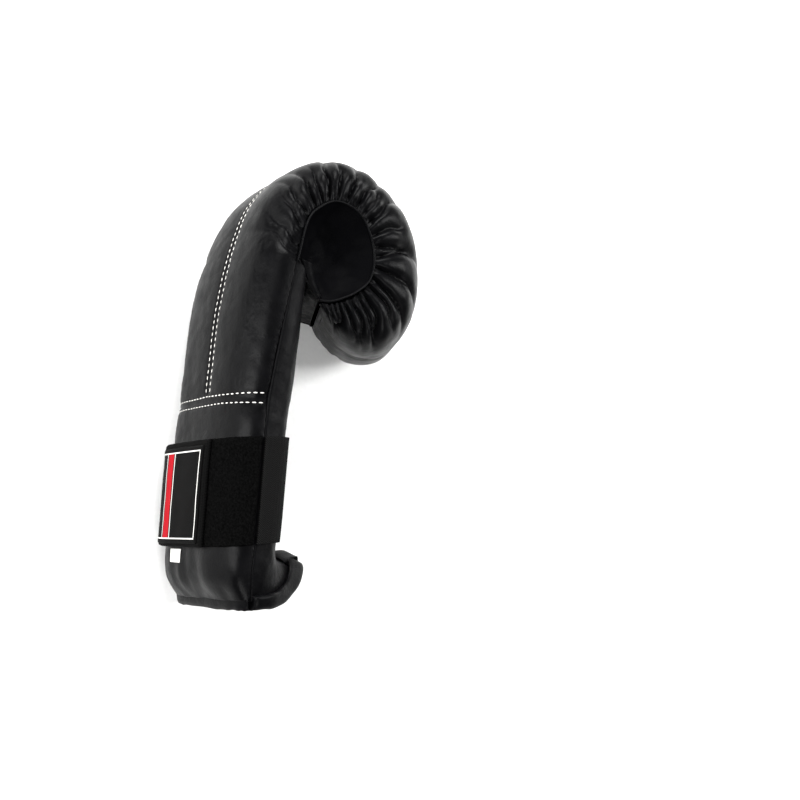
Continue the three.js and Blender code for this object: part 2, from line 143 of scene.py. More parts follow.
# The side view. Lengths are shares: x of fist_reach, z of glove_length, half of glove_width, pad of
# pad_thickness, skew of fist_skew and depth of palm_depth. wrap is in degrees from the crown.
PAD_COLUMNS = ("seam_x", "seam_z", "crown_x", "crown_z", "half", "wrap", "pad", "skew")
PAD_ROWS = (
    (-0.16, 0.024, -0.245, 0.024, 0.4, 90, 0.14, 0),
    (-0.17, 0.08, -0.315, 0.075, 0.435, 90, 0.36, 0),
    (-0.14, 0.165, -0.305, 0.163, 0.44, 90, 0.42, 0),
    (-0.085, 0.37, -0.25, 0.37, 0.45, 90, 0.42, 0),
    (-0.03, 0.5, -0.19, 0.508, 0.465, 90, 0.42, 0),
    (0.04, 0.622, -0.137, 0.645, 0.48, 91, 0.45, 0),
    (0.115, 0.735, -0.066, 0.77, 0.49, 95, 0.52, 0.04),
    (0.18, 0.815, 0.046, 0.888, 0.5, 102, 0.63, 0.14),
    (0.28, 0.852, 0.205, 0.955, 0.5, 108, 0.74, 0.32),
    (0.4, 0.868, 0.43, 0.984, 0.5, 112, 0.82, 0.55),
    (0.54, 0.85, 0.7, 0.962, 0.5, 114, 0.9, 0.78),
    (0.62, 0.8, 0.92, 0.884, 0.495, 115, 0.98, 0.92),
    (0.64, 0.745, 1, 0.77, 0.49, 115, 1.03, 1),
    (0.6, 0.7, 0.945, 0.645, 0.48, 115, 1.08, 1),
    (0.51, 0.673, 0.76, 0.565, 0.465, 115, 1.1, 1),
    (0.42, 0.658, 0.58, 0.55, 0.445, 114, 1.05, 1),
    (0.34, 0.65, 0.43, 0.57, 0.425, 112, 0.85, 1),
    (0.27, 0.652, 0.325, 0.61, 0.4, 108, 0.45, 1),
)
PAD_TABLE = dict(zip(PAD_COLUMNS, np.array(PAD_ROWS, float).T))
PALM_DEPTHS = np.array((0.78, 0.9, 0.92, 0.95, 0.93, 0.8, 0.64))

# Places along the pad
RIM_AT = 0
TAG_AT = (1.38, 1.72)
STRAP_LOW_AT = 1.78
STRAP_HIGH_AT = 2.92
THUMB_LOW_AT = 3.08
CROSS_ROWS_AT = (3.39, 3.53)
GATHER_FROM_AT = 5.9
WHITE_ROWS_END_AT = 12.2
PALM_TOP_AT = 6
TIP_AT = len(PAD_ROWS) - 1

# The centre seam runs beside the middle of the back.
CENTRE_Y = -0.0055

# The gathers: place is a share of the gathered stretch, from the knuckles to the finger tips, reach
# a share of the way from the seam to the crown, depth of pleat_depth, and slant how far the fold
# leans towards the finger tips on its way, as a share of the stretch.
PLEATS = (
    (0.012, 1.0, 0.45, 0.008), (0.035, 0.95, 0.6, 0.02), (0.07, 0.95, 0.7, 0.02),
    (0.115, 0.9, 0.8, 0.015), (0.165, 1.0, 1.0, 0.01), (0.21, 0.7, 0.8, -0.005),
    (0.245, 0.9, 1.0, 0.015), (0.285, 0.55, 0.8, 0.0), (0.32, 0.75, 0.9, 0.01),
    (0.355, 0.9, 1.0, 0.02), (0.39, 0.5, 0.7, 0.0), (0.425, 0.8, 0.95, 0.02),
    (0.46, 0.55, 0.8, 0.01), (0.495, 0.85, 1.0, 0.03), (0.53, 0.6, 0.85, 0.02),
    (0.57, 0.8, 0.9, 0.04), (0.61, 0.9, 1.0, 0.045), (0.65, 0.6, 0.9, 0.03),
    (0.69, 0.85, 1.0, 0.05), (0.73, 0.65, 0.9, 0.04), (0.77, 0.85, 1.0, 0.05),
    (0.81, 0.7, 0.9, 0.03), (0.85, 0.9, 0.95, 0.04), (0.89, 0.7, 0.8, 0.02),
    (0.93, 0.8, 0.7, 0.01), (0.965, 0.6, 0.5, 0.0),
)


# Form helpers

def mix(a, b, share):
    return a + (b - a) * share


def smooth(low, high, value):
    t = np.clip((value - low) / (high - low), 0, 1)
    return t * t * (3 - 2 * t)


def rounded(value, power):
    return np.sign(value) * np.abs(value) ** power


def unit(vectors):
    return vectors / np.maximum(np.linalg.norm(vectors, axis=-1, keepdims=True), 1e-9)


def column(values, at):
    """A column of a table at places between its rows, on a smooth curve through them."""
    last = len(values) - 1
    i = np.clip(np.floor(at).astype(int), 0, last - 1)
    t = at - i
    a, b, c, d = (values[np.clip(i + k, 0, last)] for k in (-1, 0, 1, 2))
    return b + 0.5 * t * (c - a + t * (2 * a - 5 * b + 4 * c - d + t * (3 * (b - c) + d - a)))


def section_at(at):
    """The frame of the pad's sections: seam is the base, out points from the seam to the crown."""
    s = sizes()
    at = np.asarray(at, float)
    part = {name: column(values, at) for name, values in PAD_TABLE.items()}
    seam = np.stack([part["seam_x"] * s.fist_reach, part["seam_z"] * s.glove_length], -1)
    crown = np.stack([part["crown_x"] * s.fist_reach, part["crown_z"] * s.glove_length], -1)
    rise = np.linalg.norm(crown - seam, axis=-1)
    return SimpleNamespace(
        seam=seam, out=(crown - seam) / rise[..., None], rise=rise,
        half=part["half"] * s.glove_width, wrap=part["wrap"] * DEGREE,
        pad=part["pad"] * s.pad_thickness, skew=part["skew"] * s.fist_skew)


SKEW_START = 0.45


def place(section, y, h):
    """The hand's point that lies y across and h from the seam towards the crown."""
    skew = section.skew * (SKEW_START + y / sizes().glove_width)
    x = section.seam[..., 0] + section.out[..., 0] * h + skew
    z = section.seam[..., 1] + section.out[..., 1] * h
    return np.stack(np.broadcast_arrays(x, y, z), -1)


SIDE_ROUND = 0.62
CROWN_ROUND = 0.78


def pad_outline(section, across, half, rise):
    turn = across * section.wrap
    low = rounded(np.cos(section.wrap), CROWN_ROUND)
    return (half * rounded(np.sin(turn), SIDE_ROUND),
            rise * (rounded(np.cos(turn), CROWN_ROUND) - low) / (1 - low))


def seam_half(section):
    return section.half * rounded(np.sin(section.wrap), SIDE_ROUND)


def pad_outer(at, across, lift=0.0):
    """A point of the pad's outer face, or lift above it."""
    section = section_at(at)
    y, h = pad_outline(section, across, section.half, section.rise)
    next_y, next_h = pad_outline(section, across + 1e-3, section.half, section.rise)
    size = np.hypot(next_y - y, next_h - h)
    return place(section, y - (next_h - h) / size * lift,
                 np.maximum(h + (next_y - y) / size * lift, 0))


def pad_inner(at, across):
    section = section_at(at)
    side = np.minimum(sizes().pad_side_wall, section.pad)
    y, h = pad_outline(section, across, section.half - side, section.rise - section.pad)
    return place(section, y, h)


PALM_ROUND = 0.72
FLARE_TOP_AT = STRAP_LOW_AT - 0.12
FLARE_TURNS = (-70 * DEGREE, 35 * DEGREE)
SEAT_GAP = 0.35 * MM


def palm_point(at, turn):
    """A point of the palm's outer face, turn from -90 degrees at the little finger's seam to 90."""
    s = sizes()
    section = section_at(at)
    depth = column(PALM_DEPTHS, at) * s.palm_depth
    y = seam_half(section) * rounded(np.sin(turn), PALM_ROUND)
    point = place(section, y, -depth * rounded(np.cos(turn), PALM_ROUND) - SEAT_GAP)
    flare = np.clip(1 - (at - RIM_AT) / (FLARE_TOP_AT - RIM_AT), 0, 2)
    towards_palm = np.maximum(0, np.cos(turn)) ** 1.8
    towards_thumb = smooth(*FLARE_TURNS, turn)
    point[..., 0] += s.flare_reach * flare ** 1.3 * towards_palm * mix(0.35, 1, towards_thumb)
    point[..., 2] += s.flare_lift * flare ** 1.15 * towards_palm * towards_thumb
    return point


THUMB_GROWTH = 0.75


SLIT_TURNS = (6 * DEGREE, 17 * DEGREE)
THUMB_TURNS = (-105 * DEGREE, 140 * DEGREE)
# How far the middle of the thumb's sheath lies in from the seam and down from it, in radii
THUMB_MIDDLE = (0.78, 1.28)


def slit_turn(at):
    """Where the palm ends and the thumb's half begins."""
    return mix(*SLIT_TURNS, smooth(THUMB_LOW_AT, THUMB_LOW_AT + THUMB_GROWTH, at))


def thumb_point(at, around):
    """A point of the thumb panel: around is 0 at the slit and 1 at the thumb's seam."""
    radius = sizes().thumb_radius
    section = section_at(at)
    flat = palm_point(at, mix(slit_turn(at), QUARTER, around))
    grown = smooth(THUMB_LOW_AT, THUMB_LOW_AT + THUMB_GROWTH, at)
    grown = grown * (1 - smooth(PALM_TOP_AT - 0.85, PALM_TOP_AT - 0.1, at))
    turn = mix(*THUMB_TURNS, around)
    y = seam_half(section) + radius * (np.sin(turn) - THUMB_MIDDLE[0])
    h = -radius * (THUMB_MIDDLE[1] + np.cos(turn))
    free = (grown * (1 - smooth(0.78, 1, around)))[..., None]
    return mix(flat, place(section, y, h), free)


def face_normals(points):
    """The normals of a grid of points, pointing the way that rows cross columns."""
    down = np.gradient(points, axis=0)
    across = np.gradient(points, axis=1)
    return unit(np.cross(across, down))


def lifted(points, lift):
    """The grid's points, lift along its normals."""
    return points + face_normals(points) * np.asarray(lift)[..., None]


def folds_at(points, size, stretch, seed, depth):
    """Smooth noise of a depth, with features of a size, longer along the mitt where stretch is small."""
    flat = (points * (1, 1, stretch)).reshape(-1, 3) / size + seed
    values = [noise.noise(Vector(p)) for p in flat]
    return depth * np.array(values).reshape(points.shape[:-1])


def run_of(points):
    """The length walked from the first row of a grid of points, for each point."""
    step = np.linalg.norm(np.diff(points, axis=0), axis=-1)
    return np.concatenate([np.zeros_like(step[:1]), np.cumsum(step, axis=0)])


def flat_places(points):
    """Each point's place on the flat piece: the ways walked across and along the grid."""
    return np.stack([run_of(np.swapaxes(points, 0, 1)).T, run_of(points)], -1)


def points_at(spots, run, values):
    """Where values of three columns are at spots of the run along them."""
    return np.stack([np.interp(spots, run, values[:, k]) for k in range(3)], -1)


def even(values, points, count):
    """count of the values, so that the matching points are spaced evenly."""
    run = run_of(points)
    return np.interp(np.linspace(0, run[-1], count), run, values)


# From the hand's frame to the world
FLOOR_SINK = 2.5 * MM


def floor_y():
    """How far out the thumb side goes before it is pressed flat on the floor."""
    return 0.5 * sizes().glove_width - FLOOR_SINK


def to_world(points):
    """Lays the hand's points on the thumb side. The pad's lowest corners tie it to the frame."""
    corner = pad_corner()
    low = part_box("back_pad")[0]
    return np.stack([points[..., 0] - corner[0] + low.x, points[..., 2] - corner[1] + low.y,
                     floor_y() - points[..., 1]], -1)


def pad_corner():
    """The lowest x and z of the pad, in the hand's frame."""
    at, across = np.meshgrid(np.linspace(RIM_AT, 4, 401), np.linspace(-1, 1, 201), indexing="ij")
    points = pad_outer(at, across)
    return points[..., 0].min(), points[..., 2].min()


# Mesh helpers

def linked(name, data):
    """A new object of the data, in the scene."""
    made = bpy.data.objects.new(name, data)
    bpy.context.scene.collection.objects.link(made)
    return made


def finish_mesh(name, shape, material):
    """Makes an object of a bmesh, with smooth faces."""
    data = bpy.data.meshes.new(name)
    shape.to_mesh(data)
    shape.free()
    data.polygons.foreach_set("use_smooth", [True] * len(data.polygons))
    data.materials.append(material)
    return linked(name, data)


def press(points, wall=0.0):
    """Keeps the hand's points off the floor, the inner side of a wall by the wall's thickness."""
    pressed = points.copy()
    pressed[..., 1] = np.minimum(pressed[..., 1], floor_y() - wall)
    return pressed


def grid_shape(points, flat=None):
    """A bmesh grid whose vertices take their places from rows of points in the hand's frame.
    flat holds each vertex's place on the flat piece, in metres, and becomes the UV map."""
    rows, cols = points.shape[:2]
    shape = bmesh.new()
    surface = shape.loops.layers.uv.new("surface")
    bmesh.ops.create_grid(shape, x_segments=cols - 1, y_segments=rows - 1, size=0.5)
    world = to_world(points)
    if flat is None:
        flat = flat_places(points)
    index = {}
    for vertex in shape.verts:
        i = round((vertex.co.y + 0.5) * (rows - 1))
        j = round((vertex.co.x + 0.5) * (cols - 1))
        index[vertex] = (i, j)
    for face in shape.faces:
        for loop in face.loops:
            loop[surface].uv = flat[index[loop.vert]]
    for vertex, key in index.items():
        vertex.co = world[key]
    return shape


def close_shape(shape, holes):
    """Merges the doubles, fills what is open and turns the faces outwards."""
    bmesh.ops.remove_doubles(shape, verts=shape.verts, dist=1e-6)
    if holes:
        bmesh.ops.holes_fill(shape, edges=shape.edges, sides=0)
    bmesh.ops.recalc_face_normals(shape, faces=shape.faces)


def closed_piece(name, points, material, flat=None, holes=True):
    """A closed solid round a grid of points."""
    shape = grid_shape(points, flat)
    close_shape(shape, holes)
    return finish_mesh(name, shape, material)


def wall_piece(name, outer, inner, material, flat=None):
    """A closed wall between two grids of points of the same size."""
    ring = np.concatenate([outer, inner[:, ::-1], outer[:, :1]], axis=1)
    if flat is not None:
        flat = np.concatenate([flat, flat[:, ::-1], flat[:, :1]], axis=1)
    return closed_piece(name, ring, material, flat)


def capsule(shape, middle, along, normal, size):
    """Adds a rounded stitch to a bmesh: size is its length, width and height."""
    side = unit(np.cross(normal, along))
    up = unit(np.cross(along, side))
    turn = Matrix(np.stack([along * size[0] / 2, side * size[1] / 2, up * size[2] / 2], 1).tolist())
    matrix = Matrix.Translation(Vector(middle)) @ turn.to_4x4()
    bmesh.ops.create_uvsphere(shape, u_segments=8, v_segments=6, radius=1, matrix=matrix)


def stitch_row(shape, points, normals, size, pitch, sink=0.0):
    """Lays stitches of a pitch along a line of world points."""
    run = run_of(points)
    count = max(1, int(run[-1] / pitch))
    middles = (np.arange(count) + 0.5) * run[-1] / count
    centre = points_at(middles, run, points)
    ahead = unit(points_at(middles + pitch / 4, run, points) - points_at(middles - pitch / 4, run, points))
    normal = unit(points_at(middles, run, normals))
    for middle, along, up in zip(centre, ahead, normal):
        capsule(shape, middle - up * sink, along, up, size)


# Relief of the pad

PLEAT_SEED = 11
# How far the place, reach and slant of a gather stray from the table, and how far it bends
PLEAT_STRAY = (0.004, 0.1, 0.008)
PLEAT_BEND = 0.006
PLEAT_REACH = 1.2
# How wide a gather's flank is at the seam and at the crown, and a small tuck between two gathers
PLEAT_FLANKS = (0.0055, 0.011)
TUCK_FLANK = 0.003
TUCK_DEPTH = 0.4


def pleats_at(at, across):
    """How deep the gathers are, in metres, at places of the pad."""
    share = (at - GATHER_FROM_AT) / (TIP_AT - GATHER_FROM_AT)
    from_seam = 1 - np.abs(across)
    random = np.random.default_rng(PLEAT_SEED)
    total = np.zeros_like(share)
    for side in (-1, 1):
        here = across * side > 0
        jitter = random.normal(0, 1, (len(PLEATS), 4))
        s, f = share[here], from_seam[here]
        depth = np.zeros_like(s)
        for k, (middle, reach, deep, slant) in enumerate(PLEATS):
            middle = middle + PLEAT_STRAY[0] * jitter[k, 0]
            reach = PLEAT_REACH * reach * (1 + PLEAT_STRAY[1] * jitter[k, 1])
            lean = slant + PLEAT_STRAY[2] * jitter[k, 2]
            bend = PLEAT_BEND * np.sin(9 * f + 5 * jitter[k, 3])
            away = s - middle - lean * f / 0.5 - bend * smooth(0.05, 0.4, f)
            steep = mix(*PLEAT_FLANKS, smooth(0, 0.5, f))
            flank = np.where(away > 0, steep, steep * mix(0.6, 1.6, 0.5 + 0.5 * math.sin(7 * k)))
            fade = (1 - smooth(0.55 * reach, 1.1 * reach, f)) * mix(1, 0.42, smooth(0.1, 0.8, f))
            fade = fade * mix(1, 0.1, smooth(0.5, 0.95, f))
            depth += deep * fade * np.exp(-np.abs(away) / flank) * mix(1, 1.5, smooth(0.1, 0.5, f))
        for k in range(len(PLEATS) - 1):
            middle = 0.5 * (PLEATS[k][0] + PLEATS[k + 1][0]) + 0.006 * jitter[k, 2]
            away = s - middle - 0.01 * jitter[k, 1] * f
            fade = 1 - smooth(0.02, 0.16 + 0.05 * abs(jitter[k, 0]), f)
            depth += TUCK_DEPTH * fade * np.exp(-np.abs(away) / TUCK_FLANK)
        total[here] = depth * mix(0.45, 1, smooth(0, 0.1, f))
    return sizes().pleat_depth * total


# Depth and width of what a row of stitches pulls in, the seam between two rows, and the foam round it
ROW_PULL = (0.35 * MM, 1.1 * MM)
SEAM_PULL = (0.8 * MM, 0.7 * MM)
CROSS_SEAM_PULL = (0.7 * MM, 0.7 * MM)
FOAM_PULL = (0.7 * MM, 8 * MM)

# About how long the pad is from one row of the side view to the next, near the cross rows
ROW_STEP = 34 * MM


def pull(distance, depth, width):
    return depth * np.exp(-(distance / width) ** 2)


def channels_at(at, points):
    """How deep the stitched seams pull the pad in, in metres."""
    from_centre = np.abs(points[..., 1] - CENTRE_Y)
    above = smooth(CROSS_ROWS_AT[1] - 0.02, CROSS_ROWS_AT[1] + 0.08, at)
    depth = above * (pull(from_centre - sizes().stitch_rows / 2, *ROW_PULL)
                     + pull(from_centre, *SEAM_PULL) + pull(from_centre, *FOAM_PULL))
    for row in CROSS_ROWS_AT:
        depth = depth + pull((at - row) * ROW_STEP, *ROW_PULL)
    from_middle = (at - 0.5 * sum(CROSS_ROWS_AT)) * ROW_STEP
    return depth + pull(from_middle, *CROSS_SEAM_PULL) + pull(from_middle, *FOAM_PULL)


# Folds: the size of a feature, its stretch, the seed of the noise and the depth
PAD_FOLDS = (30 * MM, 0.45, 0.0, 0.8 * MM)
CUFF_FOLDS = (11 * MM, 0.25, 4.0, 1.1 * MM)
PAD_GRAIN = (7 * MM, 1, 9.0, 0.18 * MM)
PANEL_FOLDS = (16 * MM, 0.35, 2.0, 0.9 * MM)
PANEL_GRAIN = (6 * MM, 1, 7.0, 0.3 * MM)
GUSSET_FOLDS = (15 * MM, 1, 3.0, 2.2 * MM)
GUSSET_GRAIN = (6 * MM, 1, 5.0, 0.7 * MM)
PILE_FOLDS = (3.5 * MM, 1, 2.0, 0.25 * MM)
PILE_GRAIN = (1.1 * MM, 1, 1.0, 0.35 * MM)

# The puckers beside the seam of the back: turns for each row, reach from the seam and depth
PUCKERS = (46, 0.04, 0.18 * MM)


def relief_at(at, across, points):
    """The pad's relief over its plain outline, in metres, negative where it is pulled in."""
    turns, reach, depth = PUCKERS
    on_back = 1 - smooth(5.2, 6.4, at)
    puckers = np.sin(at * turns) * np.exp(-(1 - np.abs(across)) / reach) * on_back * depth
    cuff = (1 - smooth(1.2, 2.2, at)) * folds_at(points, *CUFF_FOLDS)
    lines = pleats_at(at, across) + channels_at(at, points)
    return folds_at(points, *PAD_FOLDS) + cuff + folds_at(points, *PAD_GRAIN) + puckers - lines


# Materials

def node(tree, kind, inputs=None, **settings):
    """Adds a node with its settings, and its inputs as values or as links from sockets."""
    made = tree.nodes.new(kind)
    for name, value in settings.items():
        setattr(made, name, value)
    for name, value in (inputs or {}).items():
        if isinstance(value, bpy.types.NodeSocket):
            tree.links.new(value, made.inputs[name])
        else:
            made.inputs[name].default_value = value
    return made


def new_material(name):
    material = bpy.data.materials.new(name)
    material.use_nodes = True
    tree = material.node_tree
    return material, tree, tree.nodes["Principled BSDF"]


def ramp(tree, factor, stops):
    made = node(tree, "ShaderNodeValToRGB", {"Fac": factor})
    elements = made.color_ramp.elements
    while len(elements) < len(stops):
        elements.new(0.5)
    for element, (position, colour) in zip(elements, stops):
        element.position = position
        element.color = colour
    return made.outputs["Color"]


def shade(colour, factor):
    return [c * factor for c in colour[:3]] + [1.0]


LEATHER_GRAIN = 1.1 * MM
RIB = 2.6 * MM
RIB_ROW = 1.2 * MM
PICK = 1.6 * MM


def coloured(tree, shader, factor, stops):
    tree.links.new(ramp(tree, factor, stops), shader.inputs["Base Color"])


def raised(tree, shader, height, strength, distance, **more):
    bump = node(tree, "ShaderNodeBump",
                {"Height": height, "Strength": strength, "Distance": distance, **more})
    tree.links.new(bump.outputs["Normal"], shader.inputs["Normal"])
    return bump.outputs["Normal"]


def grain_place(tree):
    return node(tree, "ShaderNodeTexCoord").outputs["Object"]


def clouds(tree, size, detail, **more):
    """Soft noise with features of a size in metres."""
    inputs = {"Vector": grain_place(tree), "Scale": 1 / size, "Detail": detail, **more}
    return node(tree, "ShaderNodeTexNoise", inputs).outputs["Fac"]


def woven_place(tree):
    """The piece's own flat surface, in metres, whole and as x and y."""
    surface = node(tree, "ShaderNodeUVMap", uv_map="surface").outputs["UV"]
    split = node(tree, "ShaderNodeSeparateXYZ", {"Vector": surface})
    return surface, split.outputs["X"], split.outputs["Y"]


def joined(tree, a, b, operation):
    return node(tree, "ShaderNodeMath", {0: a, 1: b}, operation=operation).outputs[0]


def coated_leather(name, colour, gloss=0.35, crease=0.2, shine=0.06):
    """Coated split leather: a fine pebbled grain, soft creases and a satin film that shines."""
    material, tree, shader = new_material(name)
    pebbles = node(tree, "ShaderNodeTexVoronoi",
                   {"Vector": grain_place(tree), "Scale": 1 / LEATHER_GRAIN}, feature="SMOOTH_F1")
    patches = clouds(tree, 9 * MM, 4.0, Roughness=0.55)
    creases = clouds(tree, 5 * MM, 6.0, Roughness=0.62, Distortion=0.8)
    coloured(tree, shader, patches, ((0.3, shade(colour, 0.82)), (0.7, shade(colour, 1.25))))
    tree.links.new(ramp(tree, patches, (
        (0.3, [gloss - 0.05] * 3 + [1]), (0.72, [gloss + 0.09] * 3 + [1]))), shader.inputs["Roughness"])
    fine = raised(tree, shader, pebbles.outputs["Distance"], 0.22, 0.12 * MM)
    raised(tree, shader, creases, crease, 0.9 * MM, Normal=fine)
    shader.inputs["IOR"].default_value = 1.48
    shader.inputs["Specular IOR Level"].default_value = shine
    return material


def dull_material(name, colour, height_of, stops, relief, roughness, shine):
    """A material whose colour and relief follow one height. stops are heights and shades of the
    colour, and relief is the strength and the depth."""
    material, tree, shader = new_material(name)
    height = height_of(tree)
    coloured(tree, shader, height, [(at, shade(colour, factor)) for at, factor in stops])
    raised(tree, shader, height, *relief)
    shader.inputs["Roughness"].default_value = roughness
    shader.inputs["Specular IOR Level"].default_value = shine
    return material


def thread(name, colour):
    """Bonded polyester thread: dull, slightly hairy, with the ply's twist across each stitch."""
    twist = lambda tree: clouds(tree, 0.5 * MM, 2.0)
    return dull_material(name, colour, twist, ((0.35, 0.7), (0.65, 1)), (0.5, 0.1 * MM), 0.72, 0.05)


def ribbed_elastic(name, colour):
    """Woven elastic: ribs along the stretch, each of slanted threads that lean to and fro."""
    def threads(tree):
        _, x, y = woven_place(tree)
        lean = joined(tree, y, joined(tree, x, RIB, "PINGPONG"), "ADD")
        return joined(tree, joined(tree, lean, RIB_ROW / 2, "PINGPONG"), 2 / RIB_ROW, "MULTIPLY")
    # Painted shade low in the ribs and a painted highlight, nine times as bright, on their tops
    return dull_material(name, colour, threads, ((0.3, 0.4), (0.95, 9.0)), (0.8, 0.25 * MM), 0.8, 0.03)


def loop_pile(name, colour):
    """Loop pile: a mat of tiny tangled loops, deep black with pale flecks where loops catch light."""
    tufts = lambda tree: clouds(tree, 0.9 * MM, 5.0, Roughness=0.75)
    return dull_material(name, colour, tufts, ((0.42, 0.4), (0.62, 2.2)), (1.0, 0.7 * MM), 0.95, 0.012)


def webbing(name, colour):
    """Flat woven webbing: a small even basket of black polyester yarns."""
    def yarns(tree):
        _, *ways = woven_place(tree)
        waves = [joined(tree, way, PICK / 2, "PINGPONG") for way in ways]
        return joined(tree, joined(tree, *waves, "MAXIMUM"), 2 / PICK, "MULTIPLY")
    # Painted shade between the yarns and a painted highlight on their tops
    return dull_material(name, colour, yarns, ((0.3, 0.5), (0.95, 1.6)), (0.7, 0.2 * MM), 0.8, 0.03)


LABEL_SIZE = (0.0583, 0.055)
LABEL_FRAME = 2.6 * MM
LABEL_LINE = 0.6 * MM
LABEL_BLUR = 0.15 * MM
LABEL_BAND = (0.036, 0.044)


def band(tree, value, low, high):
    """1 where a value lies between two limits, with a soft edge."""
    middle, half = (low + high) / 2, (high - low) / 2
    away = joined(tree, value, middle, "SUBTRACT")
    size = node(tree, "ShaderNodeMath", {0: away}, operation="ABSOLUTE")
    return node(tree, "ShaderNodeMapRange", {
        "Value": size.outputs[0], "From Min": half - LABEL_BLUR, "From Max": half + LABEL_BLUR,
        "To Min": 1.0, "To Max": 0.0}).outputs["Result"]


def woven_label(name):
    """A damask label: satin black, with a red bar and thin white rules, in fine woven picks."""
    material, tree, shader = new_material(name)
    surface, x, y = woven_place(tree)
    width, height = LABEL_SIZE
    edge, line = LABEL_FRAME, LABEL_LINE
    outer = joined(tree, band(tree, x, edge, width - edge), band(tree, y, edge, height - edge), "MULTIPLY")
    inner = joined(tree, band(tree, x, edge + line, width - edge - line),
                   band(tree, y, edge + line, height - edge - line), "MULTIPLY")
    frame_line = joined(tree, outer, inner, "SUBTRACT")
    red = joined(tree, band(tree, x, *LABEL_BAND), inner, "MULTIPLY")
    rules = joined(
        tree, band(tree, x, LABEL_BAND[0] - 3 * line, LABEL_BAND[0] - 2 * line),
        band(tree, x, LABEL_BAND[1] + 2 * line, LABEL_BAND[1] + 3 * line), "ADD")
    white = joined(tree, frame_line, joined(tree, rules, inner, "MULTIPLY"), "MAXIMUM")
    black = shade(colours().fabric, 0.6)
    ground = node(tree, "ShaderNodeMix", {"Factor": red, "A": black, "B": list(colours().label_red)},
                  data_type="RGBA")
    full = node(tree, "ShaderNodeMix", {
        "Factor": white, "A": ground.outputs["Result"], "B": list(colours().label_white)},
        data_type="RGBA")
    tree.links.new(full.outputs["Result"], shader.inputs["Base Color"])
    picks = node(tree, "ShaderNodeTexWave", {"Vector": surface, "Scale": 1 / (6.3 * 0.5 * MM)},
                 bands_direction="DIAGONAL")
    raised(tree, shader, picks.outputs["Fac"], 0.4, 0.12 * MM)
    shader.inputs["Roughness"].default_value = 0.6
    shader.inputs["Specular IOR Level"].default_value = 0.03
    return material


def plain_matt(name, colour, grain, roughness):
    """A plain matt surface with a faint grain: ribbon or painted board."""
    speckle = lambda tree: clouds(tree, grain, 3.0)
    return dull_material(name, colour, speckle, ((0.3, 0.96), (0.7, 1)), (0.2, 0.1 * MM), roughness, 0.5)


MATERIALS = {
    "pad_leather": lambda: coated_leather("coated leather, pad", colours().leather),
    "panel_leather": lambda: coated_leather(
        "coated leather, panels", colours().panel, gloss=0.46, crease=0.4, shine=0.05),
    # The fist's sides take the panel leather with far less shine: painted shade for their sunken hollow.
    "shaded_side_leather": lambda: coated_leather(
        "coated leather, fist sides, painted shade", colours().panel, gloss=0.5, crease=0.3, shine=0.012),
    "binding": lambda: coated_leather("leather tape", colours().panel, gloss=0.42, crease=0.3, shine=0.06),
    "thread_white": lambda: thread("white polyester thread", colours().thread_white),
    "thread_black": lambda: thread("black polyester thread", colours().thread_black),
    "elastic": lambda: ribbed_elastic("ribbed elastic", colours().fabric),
    "loop_pile": lambda: loop_pile("loop pile", colours().fabric),
    "webbing": lambda: webbing("polyester webbing", colours().fabric),
    "label": lambda: woven_label("woven label"),
    "tag": lambda: plain_matt("white ribbon", colours().label_white, 0.6 * MM, 0.8),
    "floor": lambda: plain_matt("painted board", colours().floor, 3 * MM, 0.6),
}
made_materials = {}


def material_of(key):
    if key not in made_materials:
        made_materials[key] = MATERIALS[key]()
    return made_materials[key]


# Pieces

PAD_ALONG = 430
PAD_OUTER = 150
PAD_INNER = 26
END_ROUND = 0.5
RIM_ROUND = 0.12


def pad_stations():
    fine = np.linspace(RIM_AT, TIP_AT, 1500)
    path = np.concatenate([pad_outer(fine, 0.0), pad_outer(fine, 1.0)], -1)
    middle = even(fine, path, PAD_ALONG - 20)
    ends = [TIP_AT - END_ROUND * (1 - math.sin(QUARTER * k / 12)) for k in range(13)]
    starts = [RIM_AT + RIM_ROUND * (1 - math.cos(QUARTER * k / 6)) for k in range(7)]
    keep = middle[(middle > RIM_AT + RIM_ROUND) & (middle < TIP_AT - END_ROUND)]
    return np.concatenate([starts, keep, ends])


def even_across(stations, count, low=-1.0, high=1.0):
    """For each station, places across that are spaced evenly on the pad's outer face."""
    fine = np.linspace(low, high, 401)
    rows = []
    for at in stations:
        rows.append(even(fine, pad_outer(np.full_like(fine, at), fine), count))
    return np.array(rows)


def end_share(at):
    """How much of its thickness the pad has: all of it but for its two round ends."""
    tip = np.clip((at - (TIP_AT - END_ROUND)) / END_ROUND, 0, 1)
    rim = np.clip(1 - (at - RIM_AT) / RIM_ROUND, 0, 1)
    return np.sqrt(np.maximum(1 - tip ** 2, 0)) * np.sqrt(np.maximum(1 - rim ** 2, 0))


def pad_surface(at, across):
    """A point of the finished outer face of the pad."""
    plain = pad_outer(at, across)
    whole = pad_outer(at, across, relief_at(at, across, plain))
    half_way = 0.5 * (whole + pad_inner(at, across))
    return mix(half_way, whole, end_share(at)[..., None])


def pad_back(at, across):
    """A point of the face of the pad that lies against the hand."""
    inner = pad_inner(at, across)
    half_way = 0.5 * (inner + pad_outer(at, across))
    return mix(half_way, inner, end_share(at)[..., None])


SWELL_VOXEL = 5 * MM
SWELL_CLOTH = {"quality": 5, "mass": 0.3, "tension_stiffness": 40, "compression_stiffness": 40,
               "use_pressure": True, "uniform_pressure_force": 4.0}
SWELL_FRAMES = 20
SWELL_LIMIT = 1.2 * MM
SWELL_SHARES = 6
SWELL_FREE_AT = (3.0, 3.5)


